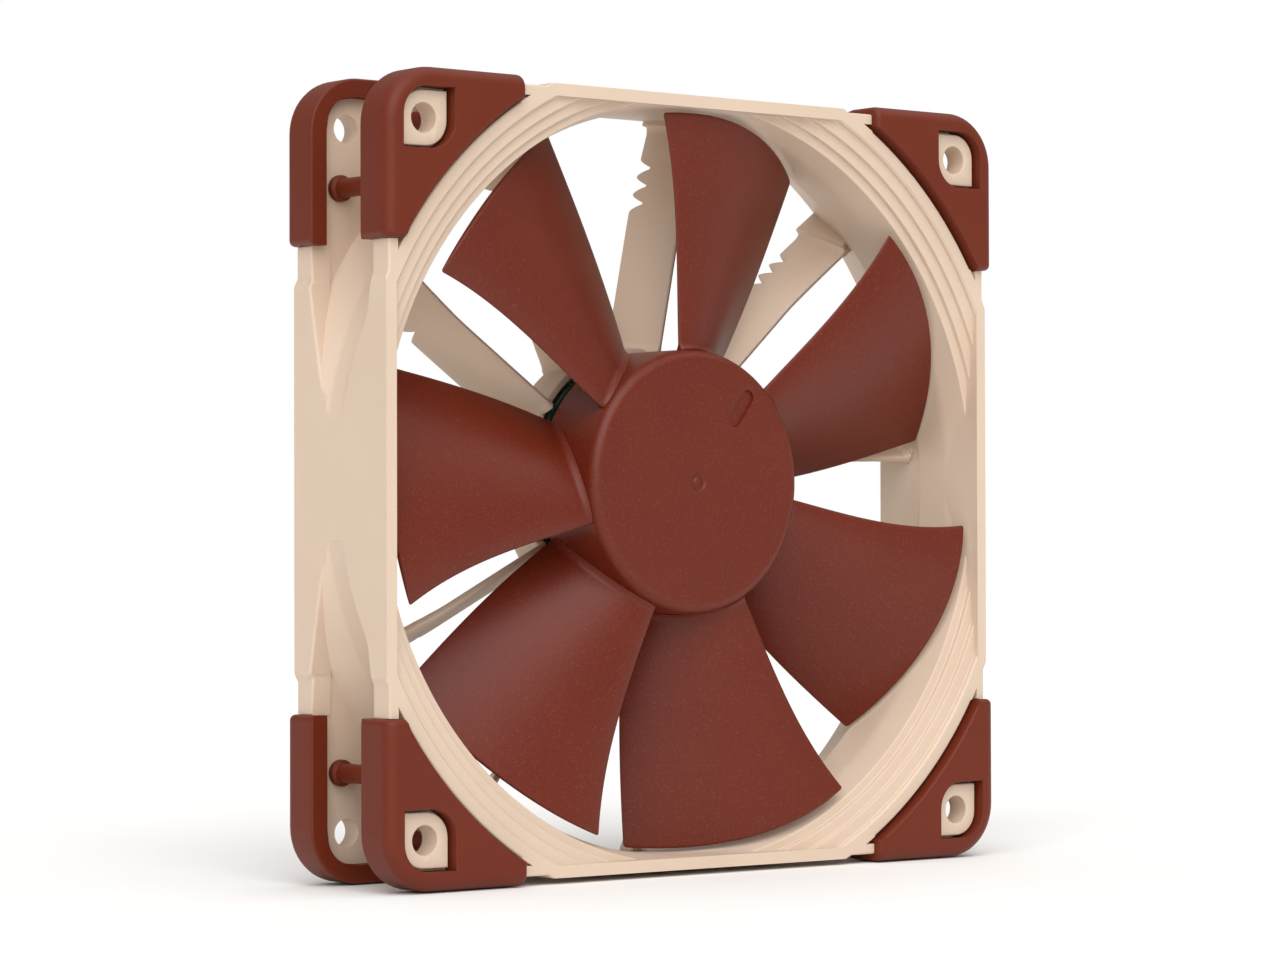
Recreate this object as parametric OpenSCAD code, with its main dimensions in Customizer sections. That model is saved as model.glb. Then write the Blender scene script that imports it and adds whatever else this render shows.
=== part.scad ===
// 120 mm case fan: a moulded frame with stepped inlet and guide vanes, eight corner pads,
// a seven-blade impeller and the brushless motor inside its hub.
// Every part is drawn lying on its back, with the intake side up (+Z) and the rotor axis on Z.
// upright() then stands the fan on its bottom edge: intake side towards -Y, exhaust side +Y.

/* [Frame] */
// Width and height over the corner pads
fan_width = 120; // [119:0.5:121]
// Depth over the corner pads
fan_depth = 27; // [26.6:0.1:28]
// Spacing of the screw holes along each side
hole_spacing = 105; // [104.6:0.1:105.4]
// Diameter of the screw holes
hole_d = 4.3; // [4.1:0.1:4.5]
// Diameter of the air duct
duct_d = 114.8; // [114.6:0.1:115.2]
// Thickness of a corner flange
flange_t = 3.8; // [3.5:0.1:4.2]
// Radius of the flared outlet at the exhaust face, in the corners
outlet_r = 62.5; // [60:0.1:62.6]

/* [Corner pads] */
// How far a pad stands proud of the frame faces and sides
pad_proud = 1.5; // [1.2:0.1:1.8]
// Depth of a pad's rim, from its face towards the middle of the fan
pad_rim_depth = 7.2; // [6.8:0.1:7.6]
// Distance from the centre line to the end of a pad
pad_end = 34.8; // [34:0.1:36]
// Outer corner radius of a pad
pad_corner_r = 8.5; // [8:0.5:9.5]
// Radius of the rounded outer edge
pad_edge_r = 2; // [1:0.5:2.5]

/* [Impeller] */
// Number of blades
blade_count = 7; // [5:1:7]
// Diameter over the blade tips
tip_d = 113.6; // [112:0.2:113.6]
// Outer diameter of the hub
hub_d = 40.8; // [40.6:0.1:41]
// Leading edge angle at the hub, the middle and the tip, in degrees
blade_lead_angle = [95.9, 94.1, 96.2]; // [90:0.1:100]
// Trailing edge angle at the hub, the middle and the tip, in degrees
blade_trail_angle = [51.3, 55.8, 59]; // [50:0.1:64]
// Leading edge height in front of mid-depth, at the hub, the middle and the tip
blade_lead_height = [8.5, 8.7, 9.8]; // [7:0.1:10]
// Trailing edge height in front of mid-depth, at the hub, the middle and the tip
blade_trail_height = [-2, -2, -1.6]; // [-2:0.1:1]
// Camber of a blade at the hub and at the tip
blade_camber = [2.2, 3.4]; // [1:0.1:4]
// Greatest blade thickness at the hub and at the tip
blade_thickness = [1.9, 1.3]; // [1:0.1:2.2]

/* [Guide vanes] */
// Angle of each guide vane's front edge, unevenly spaced to break up the blade noise
vane_angles = [5.5, 42.5, 78.5, 114.5, 145, 176, 207, 239, 270.5, 302, 334]; // [0:0.5:359.5]
// Sideways lean of a vane from its front edge to its rear edge
vane_lean = 4; // [3:0.5:6]
// Thickness of a vane
vane_t = 1.1; // [0.9:0.1:1.4]
// Depth of the notches in a vane's rear edge
notch_depth = 1.8; // [1:0.1:2.2]

/* [Motor] */
// Shaft diameter
shaft_d = 3; // [2.5:0.5:3]
// Running clearance between shaft and bearing, on the radius
bearing_gap = 0.02; // [0.01:0.01:0.04]
// Number of stator poles
pole_count = 4; // [4:1:4]

/* [Hidden] */
$fn = 96;

cut = 0.1;                       // overshoot of every cutting shape
skin = 0.05;                     // gap left between touching mouldings

// Frame levels and outline
face = fan_depth / 2 - pad_proud;          // height of the intake and exhaust faces
flange_in = face - flange_t;               // inner side of a flange
pad_floor = face - pad_proud;              // floor of the pocket that a pad sits in
half = fan_width / 2;
wide_half = half - 0.75;                   // frame half-width along the middle of a side
slim_half = wide_half - 0.5;               // the same near the pads
step_end = 28.7;                            // where the side steps in, from the centre line
pad_wall = 2.8;                            // thickness of a pad's side wall
pocket_half = half - pad_wall - skin;      // flange half-width under the pads
duct_r = duct_d / 2;
duct_outer_r = duct_r + 2.5;
flare_top = -1.7;                          // where the outlet starts to widen
outlet_flat = duct_r + 0.5;                // half-width of the outlet along the sides
lip_r = 66;                                // outer radius of the round inlet lip
hole_at = hole_spacing / 2;
tile_half = 4.15;                          // half-width of the bare tile round a screw hole
tile_r = 3.9;                              // its rounded corners
tile_gap = 0.4;
peg_at = [hole_at + 1.3, hole_at - 9];      // where a pad's peg goes through the flange
peg_r = 1.45;

// Motor levels, heights in front of mid-depth
hub_face = face - 1.3;
hub_r = hub_d / 2;
hub_wall = 1.6;
hub_skirt = -2.9;
base_r = 21.3;
base_rim = -5.4;
base_plate = -10.4;
board_top = -4.2;
board_t = 1;
board_r = 19.9;
cup_outer_r = hub_r - hub_wall - 0.02;
cup_t = 0.8;
cup_top = hub_face - hub_wall;
magnet_outer_r = cup_outer_r - cup_t - 0.02;
magnet_t = 1.9;
stator_r = magnet_outer_r - magnet_t - 0.4;
stack_top = 5.4;
stack_bottom = -0.6;
insulator_t = 0.6;
tube_outer_r = 4.2;
tube_inner_r = 3.4;
shaft_r = shaft_d / 2;
shaft_end = -9;

module upright() { rotate([90, 0, 0]) children(); }

// ---------- frame ----------

module rounded_square(half_side, r) {
    square([2 * half_side, 2 * (half_side - r)], center = true);
    square([2 * (half_side - r), 2 * half_side], center = true);
    for (x = [-1, 1]) for (y = [-1, 1])
        translate([x * (half_side - r), y * (half_side - r)]) circle(r);
}

// The wider middle of the four sides, with its small slanted steps
module side_bulges() {
    end = pad_end - 0.1;
    for (a = [0 : 90 : 270]) rotate(a)
        polygon([
            [end, 0], [end, slim_half], [step_end + 0.7, slim_half], [step_end, wide_half],
            [-step_end, wide_half], [-step_end - 0.7, slim_half], [-end, slim_half], [-end, 0]
        ]);
}

module flange() {
    linear_extrude(flange_t) {
        rounded_square(pocket_half, pad_corner_r - pad_wall);
        side_bulges();
    }
}

// Side walls between the flanges, each with two tapering hollows that open towards the corners
module side_walls() {
    hollow = [
        [pad_end, 8.1], [29, 7.7], [24, 6.9], [19, 3.9], [15, 2], [9, 0.2],
        [9, -3.6], [16, -5.2], [22, -6.5], [29, -7.9], [pad_end, -8.1]
    ];
    wall_depth = 3.75;
    for (a = [0 : 90 : 270]) rotate(a)
        intersection() {
            linear_extrude(2 * face, center = true) side_bulges();
            translate([0, wide_half + cut, 0]) rotate([90, 0, 0])
                linear_extrude(wall_depth) difference() {
                    square([2 * pad_end - 0.2, 2 * face], center = true);
                    for (m = [0, 1]) mirror([m, 0]) polygon(hollow);
                }
        }
}

// The air passage, or a shape that stays a gap inside it: three concentric inlet steps, a short
// cone, the duct and an outlet that flares towards the corners
module air_passage(gap = 0) {
    step_r = [63.7, 61.7, 59.9];
    step_h = 0.9;
    cone_top = face - 2.7;
    flat = duct_r - gap;
    wide_flat = outlet_flat - gap;
    intersection() {
        rotate_extrude() polygon([
            [0, face + cut], [step_r[0], face + cut], [step_r[0], face - step_h],
            [step_r[1], face - step_h], [step_r[1], face - 2 * step_h + 0.1],
            [step_r[2], face - 2 * step_h + 0.1], [step_r[2], cone_top + 0.1],
            [duct_r + 1.1, cone_top + 0.1], [duct_r - gap, cone_top - 4.5],
            [duct_r - gap, flare_top], [outlet_r - gap, -face],
            [outlet_r - gap, -face - cut],
            [0, -face - cut]
        ]);
        union() {
            translate([-flat, -flat, flare_top]) cube([2 * flat, 2 * flat, 2 * face]);
            translate([-wide_flat, -wide_flat, -2 * face])
                cube([2 * wide_flat, 2 * wide_flat, 2 * face + flare_top + cut]);
        }
    }
}

// The pocket for one pad: everything in the corner outside the round lip
module pocket() {
    inner = pad_end - 5;
    difference() {
        translate([inner, inner, pad_floor])
            cube([pocket_half - inner, pocket_half - inner, pad_proud + cut]);
        translate([0, 0, pad_floor - cut]) cylinder(r = lip_r, h = pad_proud + 3 * cut, $fn = 180);
    }
    translate([pad_end - 0.1, pad_end - 0.1, pad_floor]) difference() {
        cube([30, 30, pad_proud + cut]);
        translate([-pad_end, -pad_end, -cut])
            cylinder(r = lip_r, h = pad_proud + 3 * cut, $fn = 180);
    }
}

// Leaf outline: a square with the two corners on the frame's diagonal rounded
module leaf(half_side, r) {
    square([2 * half_side, 2 * (half_side - r)], center = true);
    square([2 * (half_side - r), 2 * half_side], center = true);
    for (s = [-1, 1]) translate([s * (half_side - r), s * (half_side - r)]) circle(r);
    for (s = [-1, 1]) translate([s * (half_side - r / 2), -s * (half_side - r / 2)])
        square(r, center = true);
}

module tile() {
    translate([hole_at, hole_at, pad_floor - cut])
        linear_extrude(pad_proud + cut) leaf(tile_half, tile_r);
}

// One guide vane's section: x runs sideways with the lean, y is height; it turns the swirl axial
function vane_line(u) = [vane_lean * (1 - pow(1 - u, 1.35)), vane_front - u * (face + vane_front)];
function vane_side(u, s) =
    let (a = vane_line(max(0, u - 0.05)), b = vane_line(min(1, u + 0.05)), d = (b - a) / norm(b - a))
    vane_line(u) + s * vane_t / 2 * (u == 0 ? 0.4 : 1) * [-d[1], d[0]];
vane_front = -3.9;
VANE_STEPS = [0, 0.08, 0.3, 0.5, 0.7, 0.85, 1];

module vane() {
    inner_r = base_r - 0.6;
    outer_r = outlet_r + 0.1;
    notch_radii = [44, 47, 49.9];
    notch_half = 0.95;
    section = concat(
        [for (u = VANE_STEPS) vane_side(u, 1)],
        [for (i = [len(VANE_STEPS) - 1 : -1 : 0]) vane_side(VANE_STEPS[i], -1)]
    );
    difference() {
        translate([inner_r, 0, 0]) rotate([90, 0, 90]) linear_extrude(outer_r - inner_r)
            intersection() {
                polygon(section);
                translate([-5, -face]) square([20, face]);
            }
        for (r = notch_radii)
            translate([r, vane_lean - vane_t, -face]) rotate([0, -90, -90])
                linear_extrude(3 * vane_t, center = true)
                    polygon([[-1, -notch_half - 0.5], [-1, notch_half + 0.5], [notch_depth, 0.25]]);
    }
}

// The motor base: a round tray joined to the duct by the vanes
module motor_base() {
    inner_r = base_r - 1.1;
    boss_r = 6;
    cable_slot_angle = 286;
    color("#DEC9B5") upright() {
        difference() {
            translate([0, 0, -face]) cylinder(r = base_r, h = base_rim + face);
            translate([0, 0, base_plate]) cylinder(r = inner_r, h = 10);
            translate([0, 0, -face - cut]) cylinder(r = base_r - 2.3, h = 0.4 + cut);
            rotate(cable_slot_angle) translate([base_r - 3, -2.2, base_plate])
                cube([5, 4.4, 1.8]);
        }
        difference() {
            translate([0, 0, base_plate - cut]) cylinder(r = boss_r, h = 1.8 + cut);
            translate([0, 0, base_plate + 0.4]) cylinder(r = tube_outer_r + skin, h = 5);
        }
        for (a = [45 : 90 : 315]) rotate(a) translate([15.5, 0, base_plate - cut])
            cylinder(r = 1.6, h = board_top - board_t - skin - base_plate + cut);
    }
}

// A front pad's peg is on its top or bottom leg and a rear pad's on its side leg, so that the
// two tails of a corner pass each other
module peg_place(turn, back) {
    k = (turn + 1 + back) % 2;
    translate([peg_at[k], peg_at[1 - k], 0]) children();
}

// Outside of the duct where it widens to the outlet
module outlet_cone() {
    wall = 1.8;
    low = -flange_in - cut;
    slope = (outlet_r - duct_r) / (face + flare_top);
    r_low = duct_r + wall + slope * (flare_top - low);
    translate([0, 0, low])
        cylinder(r1 = r_low, r2 = duct_outer_r, h = (r_low - duct_outer_r) / slope, $fn = 180);
}

module frame() {
    color("#DEC9B5") upright() {
        difference() {
            union() {
                intersection() {
                    union() {
                        cylinder(r = duct_outer_r, h = 2 * face, center = true, $fn = 180);
                        outlet_cone();
                    }
                    cube([2 * wide_half, 2 * wide_half, 2 * face], center = true);
                }
                translate([0, 0, flange_in]) flange();
                translate([0, 0, -face]) flange();
                side_walls();
            }
            air_passage();
            for (back = [0, 1]) mirror([0, 0, back])
                for (turn = [0 : 3]) rotate(90 * turn) {
                    difference() {
                        pocket();
                        tile();
                    }
                    translate([hole_at, hole_at, flange_in - cut])
                        cylinder(d = hole_d, h = flange_t + 2 * cut);
                    peg_place(turn, back) translate([0, 0, flange_in - cut])
                        cylinder(r = peg_r + skin, h = flange_t);
                }
        }
    }
}

// Eleven vanes between the motor base and the duct, moulded with the frame in the real fan
module guide_vanes() {
    color("#DEC9B5") upright() difference() {
        intersection() {
            for (a = vane_angles) rotate(a) vane();
            air_passage(skin);
        }
        cylinder(r = base_r + skin, h = 3 * face, center = true);
    }
}

// ---------- corner pads ----------

// Section of the pad's rim: x is distance from the corner arc's centre, y is height
module pad_rim_section() {
    top = fan_depth / 2;
    edge = pad_corner_r - pad_edge_r;
    wall_in = pad_corner_r - pad_wall;
    rim_end = top - pad_rim_depth;
    polygon(concat(
        [[wall_in, rim_end], [pad_corner_r, rim_end]],
        [for (a = [0 : 15 : 90]) [edge + pad_edge_r * cos(a), top - pad_edge_r + pad_edge_r * sin(a)]],
        [[0, top], [0, pad_floor + skin], [wall_in, pad_floor + skin]]
    ));
}

// One pad in the corner that points to +X +Y, with its locking peg
module pad(turn, back) {
    leg = half - pad_corner_r - pad_end;
    arc_at = half - pad_corner_r;
    bead_t = 1;
    tail = 13;
    difference() {
        union() {
            translate([arc_at, arc_at, 0]) rotate_extrude(angle = 90) pad_rim_section();
            translate([arc_at, arc_at, 0]) rotate([90, 0, 0])
                linear_extrude(leg) pad_rim_section();
            mirror([1, -1, 0]) translate([arc_at, arc_at, 0]) rotate([90, 0, 0])
                linear_extrude(leg) pad_rim_section();
            translate([pad_end, pad_end, pad_floor + skin])
                cube([leg + cut, leg + cut, pad_proud * 2 - skin]);
        }
        cylinder(r = lip_r + 0.6, h = fan_depth, $fn = 180);
        translate([hole_at, hole_at, pad_floor - 1])
            linear_extrude(10) leaf(tile_half + tile_gap, tile_r + tile_gap);
    }
    peg_place(turn, back) {
        translate([0, 0, flange_in - tail]) cylinder(r = peg_r, h = tail + flange_t - pad_proud + 0.5);
        translate([0, 0, flange_in - bead_t - skin]) cylinder(r = peg_r + 0.55, h = bead_t);
    }
}

// turn counts quarter turns from the top right corner
module pad_node(turn, back) {
    color("#74382A") upright() rotate(90 * turn) mirror([0, 0, back]) pad(turn, back);
}

// ---------- motor, still parts ----------

module ring(outer, inner, from, to) {
    difference() {
        translate([0, 0, from]) cylinder(r = outer, h = to - from);
        translate([0, 0, from - cut]) cylinder(r = inner, h = to - from + 2 * cut);
    }
}

module bearing_tube() {
    floor_t = 0.6;
    bottom = base_plate + 0.4;
    color("#C9A646") upright() {
        ring(tube_outer_r, tube_inner_r, bottom, stack_top + 0.6);
        translate([0, 0, bottom]) cylinder(r = tube_inner_r + cut, h = floor_t);
    }
}

module bearing_sleeve() {
    color("#B08A4A") upright() ring(tube_inner_r - 0.01, shaft_r + bearing_gap, -4.6, 4.2);
}

module thrust_pad() {
    color("#F2F2EC") upright() translate([0, 0, shaft_end - 0.4]) difference() {
        cylinder(r = tube_inner_r - 0.02, h = 0.38);
        translate([0, 0, 0.3]) cylinder(r = 0.4, h = 1);
    }
}

module stabiliser_magnet() {
    color("#4A4A4E") upright() ring(tube_inner_r - 0.02, shaft_r + 0.5, shaft_end + 0.05, shaft_end + 1);
}

module oil_seal_ring() {
    color("#E8E4D8") upright() ring(tube_inner_r - 0.02, shaft_r + 0.1, 4.3, 5);
}

module pole_outline() {
    neck = 3.4;
    shoe_t = 1.3;
    shoe_angle = 72;
    union() {
        difference() {
            circle(7);
            circle(tube_outer_r + 0.02);
        }
        for (i = [0 : pole_count - 1]) rotate(i * 360 / pole_count) {
            translate([5.5, -neck / 2]) square([stator_r - 6.2, neck]);
            intersection() {
                difference() {
                    circle(stator_r);
                    circle(stator_r - shoe_t);
                }
                polygon([
                    [0, 0], [30 * cos(shoe_angle / 2), -30 * sin(shoe_angle / 2)],
                    [40, 0], [30 * cos(shoe_angle / 2), 30 * sin(shoe_angle / 2)]
                ]);
            }
        }
    }
}

module stator_core() {
    color("#8C8F94") upright() translate([0, 0, stack_bottom])
        linear_extrude(stack_top - stack_bottom) pole_outline();
}

// Insulator plate: covers the laminations and has an upright fence at the end of each pole
module insulator(level, direction) {
    fence_r = 12.4;
    fence_t = 0.8;
    fence_h = 1.4;
    translate([0, 0, level]) mirror([0, 0, direction < 0 ? 1 : 0]) {
        linear_extrude(insulator_t) difference() {
            intersection() {
                pole_outline();
                circle(stator_r - 0.6);
            }
            circle(tube_outer_r + 0.4);
        }
        linear_extrude(insulator_t + fence_h) intersection() {
            difference() {
                circle(fence_r + fence_t);
                circle(fence_r);
            }
            for (i = [0 : 1]) rotate(i * 90) square([40, 6.4], center = true);
        }
    }
}

module front_insulator() { color("#2B2B2D") upright() insulator(stack_top + 0.01, 1); }
module rear_insulator() { color("#2B2B2D") upright() insulator(stack_bottom - 0.01, -1); }

// Copper coils, one round each pole
module windings() {
    neck = 3.4;
    lay = 1.7;
    low = stack_bottom - insulator_t - 0.03;
    high = stack_top + insulator_t + 0.03;
    from_r = 7.3;
    to_r = 11.9;
    pole_clear = 0.05;
    color("#B5652B") upright() for (i = [0 : pole_count - 1]) rotate(i * 360 / pole_count)
        difference() {
            translate([from_r, -neck / 2 - lay, low - 1.1])
                cube([to_r - from_r, neck + 2 * lay, high - low + 2.2]);
            translate([from_r - cut, -neck / 2 - pole_clear, low])
                cube([to_r - from_r + 2 * cut, neck + 2 * pole_clear, high - low]);
            for (z = [low - 1.1, high + 1.1]) for (s = [-1, 1])
                translate([from_r - cut, s * (neck / 2 + lay), z]) rotate([45, 0, 0])
                    cube([to_r - from_r + 2 * cut, 0.9, 0.9], center = false);
        }
}

// Four square pins that carry the coil ends down to the board
module winding_pins() {
    top = stack_bottom - insulator_t - 0.05;
    color("#CFCBC0") upright() for (a = [45 : 90 : 315]) rotate(a)
        translate([9.6, -0.3, board_top - board_t - 0.6])
            cube([0.6, 0.6, top - board_top + board_t + 0.6]);
}

module circuit_board() {
    color("#1F5A3A") upright() difference() {
        translate([0, 0, board_top - board_t]) cylinder(r = board_r, h = board_t);
        translate([0, 0, board_top - board_t - cut]) cylinder(r = 6.2, h = board_t + 2 * cut);
        for (a = [45 : 90 : 315]) rotate(a)
            translate([9.55, -0.35, board_top - board_t - cut]) cube([0.7, 0.7, board_t + 2 * cut]);
    }
}

module driver_chip() {
    body = 4;
    lead_pitch = 1;
    color("#26262A") upright() translate([-body / 2, -14.6, board_top + skin]) {
        cube([body, 4, 0.9]);
        for (i = [0 : 3]) for (y = [-0.7, 4])
            translate([0.3 + i * lead_pitch, y, 0]) cube([0.4, 0.7, 0.25]);
    }
}

module hall_sensor() {
    color("#1C1C1E") upright() rotate(45) translate([15.2, -1.1, board_top + skin])
        cube([1.5, 2.2, 0.85]);
}

// Small surface-mounted resistors and capacitors, in one group
module board_components() {
    chip = [1.6, 0.8, 0.5];
    color("#8E6B4A") upright() for (a = [10, 75, 105, 140, 165, 200, 225, 330, 350]) rotate(a)
        translate([14.5 - chip[0] / 2, -chip[1] / 2, board_top + skin]) cube(chip);
}

module rear_label() {
    color("#3A2A24") upright() translate([0, 0, -face + 0.05])
        cylinder(r = base_r - 2.5, h = 0.3);
}

// ---------- rotor ----------

// Value at span s (0 at the hub, 1 at the tip) of a curve through three values
function along_span(v, s) =
    v[0] * (1 - s) * (1 - 2 * s) + v[1] * 4 * s * (1 - s) + v[2] * s * (2 * s - 1);

// Half-thickness at chord position u, rounded at the front edge and thin at the rear
function blade_half(u, s) =
    let (t = blade_thickness[0] + (blade_thickness[1] - blade_thickness[0]) * s)
    t * (1.4845 * sqrt(u) - 0.63 * u - 1.758 * u * u + 1.4215 * pow(u, 3) - 0.38 * pow(u, 4)) * 0.92;

// Middle of the blade at span s, chord position u: [arc length round the axis, height]
function blade_mid(s, u, r) =
    let (
        lead = along_span(blade_lead_angle, s),
        trail = along_span(blade_trail_angle, s),
        bow = blade_camber[0] + (blade_camber[1] - blade_camber[0]) * s
    ) [
        (lead + (trail - lead) * u) * PI / 180 * r,
        along_span(blade_lead_height, s) * (1 - u) + along_span(blade_trail_height, s) * u
            + bow * 4 * u * (1 - u)
    ];

function blade_point(s, u, side) =
    let (
        r = hub_r + (tip_d / 2 - hub_r) * s,
        a = blade_mid(s, max(0, u - 0.02), r),
        b = blade_mid(s, min(1, u + 0.02), r),
        d = (b - a) / norm(b - a),
        p = blade_mid(s, u, r) + side * blade_half(u, s) * [-d[1], d[0]],
        angle = p[0] / r * 180 / PI
    ) [r * cos(angle), r * sin(angle), p[1]];

SPAN = [for (i = [0 : 9]) -0.022 + 1.022 * i / 9];
CHORD = [for (i = [0 : 9]) (1 - cos(18 * i + 0.1 * i)) / (1 - cos(162.9))];

module blade() {
    n = len(CHORD);
    loop = 2 * n - 1;
    points = [for (s = SPAN) each concat(
        [for (i = [0 : n - 1]) blade_point(s, CHORD[i], 1)],
        [for (i = [n - 1 : -1 : 1]) blade_point(s, CHORD[i], -1)]
    )];
    last = (len(SPAN) - 1) * loop;
    skin_faces = [for (k = [0 : len(SPAN) - 2]) for (i = [0 : loop - 1])
        let (a = k * loop + i, b = k * loop + (i + 1) % loop) each
        [[a, b, b + loop], [a, b + loop, a + loop]]];
    cap = [for (i = [1 : n - 2]) each
        [[i, loop - i, loop - i - 1], [i, loop - i - 1, i + 1]]];
    nose = [0, loop - 1, 1];
    polyhedron(points, concat(
        skin_faces,
        [nose], cap,
        [[last + nose[2], last + nose[1], last + nose[0]]],
        [for (f = cap) [last + f[2], last + f[1], last + f[0]]]
    ));
}

module hub_shell() {
    edge = 1.8;
    rotate_extrude() polygon(concat(
        [[0, hub_face - hub_wall], [0, hub_face]],
        [for (a = [90 : -15 : 0]) [hub_r - edge + edge * cos(a), hub_face - edge + edge * sin(a)]],
        [[hub_r, hub_skirt], [hub_r - hub_wall, hub_skirt], [hub_r - hub_wall, hub_face - hub_wall]]
    ));
}

module impeller() {
    slot_r = 14.3;
    slot_angle = 53;
    slot_l = 6.6;
    slot_w = 2.4;
    dimple_r = 1.5;
    color("#73332A") upright() {
        difference() {
            hub_shell();
            rotate(slot_angle) translate([slot_r, 0, hub_face - 0.5]) linear_extrude(2) {
                square([slot_l - slot_w, slot_w], center = true);
                for (s = [-1, 1]) translate([s * (slot_l - slot_w) / 2, 0]) circle(d = slot_w);
            }
            translate([0, 0, hub_face - 0.25]) ring(dimple_r, 0.8, 0, 1);
        }
        for (i = [0 : blade_count - 1]) rotate(i * 360 / blade_count) blade();
    }
}

module rotor_cup() {
    color("#9A9DA1") upright() {
        ring(cup_outer_r, cup_outer_r - cup_t, hub_skirt + 0.3, cup_top - skin);
        ring(cup_outer_r - 0.1, 3.5, cup_top - skin - cup_t, cup_top - skin);
    }
}

module ring_magnet() {
    color("#3C3D40") upright()
        ring(magnet_outer_r, magnet_outer_r - magnet_t, hub_skirt + 0.5, stack_top + 1.5);
}

// Brass bush pressed into the cup; the shaft is pressed into it
module hub_bush() {
    color("#C9A646") upright()
        ring(3.48, shaft_r + 0.01, stack_top + 1, cup_top - skin);
}

module shaft() {
    groove = 0.35;
    groove_w = 0.5;
    groove_at = -5.5;
    color("#D9DBDE") upright() rotate_extrude() polygon([
        [0, cup_top - 0.3], [shaft_r, cup_top - 0.3], [shaft_r, groove_at + groove_w],
        [shaft_r - groove, groove_at + groove_w], [shaft_r - groove, groove_at],
        [shaft_r, groove_at], [shaft_r, shaft_end + 0.3], [shaft_r - 0.4, shaft_end + 0.02],
        [0, shaft_end + 0.02]
    ]);
}

// Split clip in the shaft's groove, below the bearing
module retaining_clip() {
    color("#B9BCC0") upright() difference() {
        ring(2.6, shaft_r - 0.33, -5.45, -5.1);
        translate([0, -0.6, -6]) cube([5, 1.2, 2]);
    }
}

frame();
guide_vanes();
motor_base();
pad_node(0, 0);  // front_pad_top_right
pad_node(1, 0);  // front_pad_top_left
pad_node(2, 0);  // front_pad_bottom_left
pad_node(3, 0);  // front_pad_bottom_right
pad_node(0, 1);  // rear_pad_top_right
pad_node(1, 1);  // rear_pad_top_left
pad_node(2, 1);  // rear_pad_bottom_left
pad_node(3, 1);  // rear_pad_bottom_right
bearing_tube();
bearing_sleeve();
thrust_pad();
stabiliser_magnet();
oil_seal_ring();
stator_core();
front_insulator();
rear_insulator();
windings();
winding_pins();
circuit_board();
driver_chip();
hall_sensor();
board_components();
rear_label();
impeller();
rotor_cup();
ring_magnet();
hub_bush();
shaft();
retaining_clip();
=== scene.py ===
import math

import bmesh
import bpy
from mathutils import Matrix, Vector


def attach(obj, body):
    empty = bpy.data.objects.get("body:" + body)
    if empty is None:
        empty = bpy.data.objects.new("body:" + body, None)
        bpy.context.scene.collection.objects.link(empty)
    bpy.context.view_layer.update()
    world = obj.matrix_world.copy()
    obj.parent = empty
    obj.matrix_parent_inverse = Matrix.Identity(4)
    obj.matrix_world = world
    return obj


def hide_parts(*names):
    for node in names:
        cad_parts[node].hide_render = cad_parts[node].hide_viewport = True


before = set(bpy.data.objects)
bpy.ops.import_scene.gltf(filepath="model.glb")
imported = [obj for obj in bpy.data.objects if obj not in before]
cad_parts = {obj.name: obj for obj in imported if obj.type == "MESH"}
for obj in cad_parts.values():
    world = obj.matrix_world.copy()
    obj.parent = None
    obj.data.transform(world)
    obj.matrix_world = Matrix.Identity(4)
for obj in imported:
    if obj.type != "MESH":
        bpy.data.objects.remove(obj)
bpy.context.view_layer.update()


# ---------- Frame ----------
# One moulding in beige glass-filled polyester (PBT): two corner flanges, thin side walls with
# tapering hollows, and the air duct, whose intake is cut back in three round steps.
# The outline is worked in millimetres, with heights measured from mid-depth to the intake.
face = 12.0                 # height of the intake face; the exhaust face is as far below
flange_inner = 8.2          # inner side of a corner flange
pocket_floor = 10.5         # face of the plate that a pad sits on
side_wide = 59.25           # half-width of the frame along the middle of a side
side_slim = 58.75           # the same near the pads
pocket_half = 57.15         # half-width of that plate
pocket_corner = 5.7
duct_radius = 57.4
duct_outer = 59.9
flare_top = -1.7            # where the outlet starts to widen towards the corners
outlet_radius = 62.5
outlet_flat = 57.9          # half-width of the outlet along the sides
lip_radius = 66.0           # round lip between the inlet and a pad
edge_round = 0.35           # rounding of the long outer edges
hole_at = 52.5              # the screw holes' distance from the middle, both ways
hole_radius = 2.15
hole_rim = 0.35             # how far a screw hole opens out at its ends
tile_half = 4.15            # bare tile that carries a screw hole
tile_round = 3.9
peg_at = (53.8, 43.5)       # a pad's peg, from the middle across and along its leg
peg_radius = 1.45
pad_end = 34.8              # where a pad's legs stop
through = 13.5              # reach of a cutter that goes right through
beyond = 20                 # height of a block that clips or cuts past both faces
near = 0.01                 # slack when faces and edges are picked by their place


def take(obj):
    """Makes obj the only selected and active object."""
    if bpy.context.object and bpy.context.object.mode == "EDIT":
        bpy.ops.object.mode_set(mode="OBJECT")
    bpy.ops.object.select_all(action="DESELECT")
    obj.select_set(True)
    bpy.context.view_layer.objects.active = obj
    return obj


def fresh(name):
    """Names the primitive that was just added and bakes its place into its mesh."""
    obj = take(bpy.context.object)
    obj.name = obj.data.name = name
    bpy.ops.object.transform_apply(location=True, rotation=True, scale=True)
    return obj


def choose(obj, kind, test):
    """Opens edit mode with only the vertices, edges or faces that pass the test selected."""
    take(obj)
    bpy.ops.object.mode_set(mode="EDIT")
    bpy.ops.mesh.select_mode(type={"verts": "VERT", "edges": "EDGE", "faces": "FACE"}[kind])
    bpy.ops.mesh.select_all(action="DESELECT")
    mesh = bmesh.from_edit_mesh(obj.data)
    for part in getattr(mesh, kind):
        if test(part):
            part.select_set(True)
    mesh.select_flush_mode()
    bmesh.update_edit_mesh(obj.data)


def leave():
    """Goes back to object mode."""
    bpy.ops.object.mode_set(mode="OBJECT")


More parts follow.
